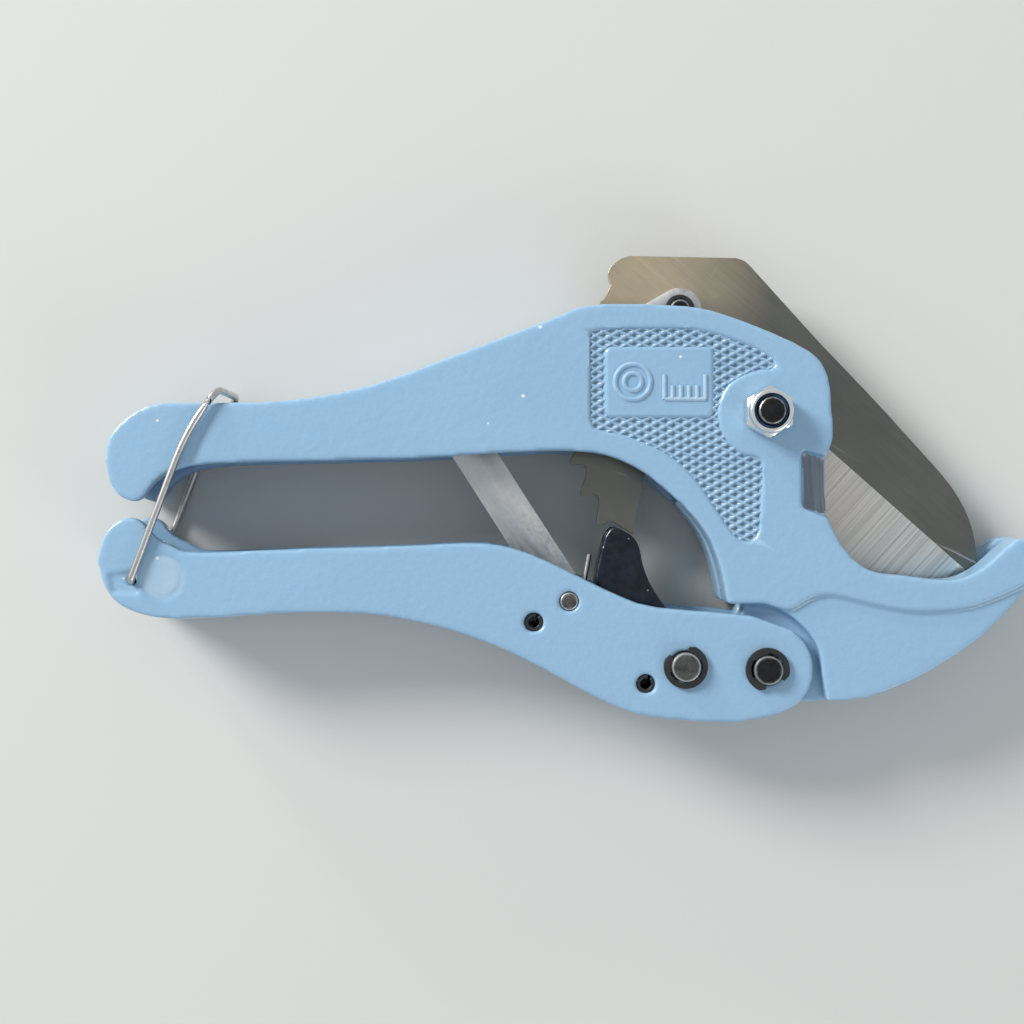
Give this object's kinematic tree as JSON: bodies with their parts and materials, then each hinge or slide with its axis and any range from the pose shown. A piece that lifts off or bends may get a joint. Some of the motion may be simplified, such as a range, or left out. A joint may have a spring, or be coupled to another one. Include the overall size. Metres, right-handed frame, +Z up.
{
  "type": "ratchet pipe cutter",
  "caption": "Hand-held ratcheting cutter for plastic pipe, with a hooked jaw, a curved blade, two cast grips and a wire latch, closed and lying on its side.",
  "frame": {"origin": "on the blade pivot's axis, in the flat of the pivot bolt's head, which is the lowest face as the cutter lies on its far side", "axes": "+X along the grips towards the jaw, +Y across them from the moving handle towards the blade's back, +Z up along the pivot bolt"},
  "size_m": [0.2088, 0.1046, 0.0311],
  "materials": {
    "casting_paint": "semi-gloss light blue-grey paint on a light-alloy die casting",
    "blade_steel": "brushed flat, ground bevel",
    "link_steel": "dull rolled strip with bright sheared edges",
    "black_steel": "black oxide, oiled",
    "spring_wire": "bright drawn spring wire",
    "plated_steel": "bright zinc plate",
    "nylon": "dark blue nylon lock ring"
  },
  "bodies": {
    "frame": {"main_body": "casting_paint", "pivot_bolt": "black_steel", "pivot_nut": "plated_steel", "nut_insert": "nylon", "pivot_sleeve": "plated_steel", "blade_washer_far": "plated_steel", "blade_washer_near": "plated_steel"},
    "handle": {"moving_handle": "casting_paint", "handle_pin": "black_steel", "handle_pin_clip": "black_steel", "pawl_pin": "black_steel", "pawl_pin_clip": "black_steel", "slot_pin": "plated_steel", "spring_anchor_pin": "black_steel", "pawl_stop_pin": "black_steel", "pawl_spring": "spring_wire"},
    "cutter": {"blade": "blade_steel", "link_pin": "black_steel", "link_pin_clip": "black_steel"},
    "link": {"return_link": "link_steel"},
    "pawl": {"pawl": "black_steel"},
    "latch": {"latch_bail": "spring_wire"}
  },
  "joints": [
    {"name": "handle_open", "type": "hinge", "parent": "frame", "child": "handle", "pos_m": [0, -0.0566, 0.013], "axis": [0, 0, 1], "range_deg": [0, 44]},
    {"name": "blade_open", "type": "hinge", "parent": "frame", "child": "cutter", "pos_m": [0, 0, 0.013], "axis": [0, 0, 1], "range_deg": [0, 53]},
    {"name": "link_swing", "type": "hinge", "parent": "cutter", "child": "link", "pos_m": [-0.0185, 0.0236, 0.0158], "axis": [0, 0, 1], "range_deg": [-49, 0]},
    {"name": "pawl_swing", "type": "hinge", "parent": "handle", "child": "pawl", "pos_m": [-0.018, -0.0559, 0.013], "axis": [0, 0, 1], "range_deg": [-22, 0]},
    {"name": "latch_swing", "type": "hinge", "parent": "handle", "child": "latch", "pos_m": [-0.1401, -0.0371, 0.013], "axis": [0, 0, 1], "range_deg": [0, 281.6]}
  ],
  "couplings": [
    {"joint": "blade_open", "follows": "handle_open", "ratio": 1.2045},
    {"joint": "link_swing", "follows": "handle_open", "ratio": -1.1136},
    {"joint": "pawl_swing", "follows": "handle_open", "ratio": -0.5},
    {"joint": "latch_swing", "follows": "handle_open", "ratio": 6.4}
  ]
}
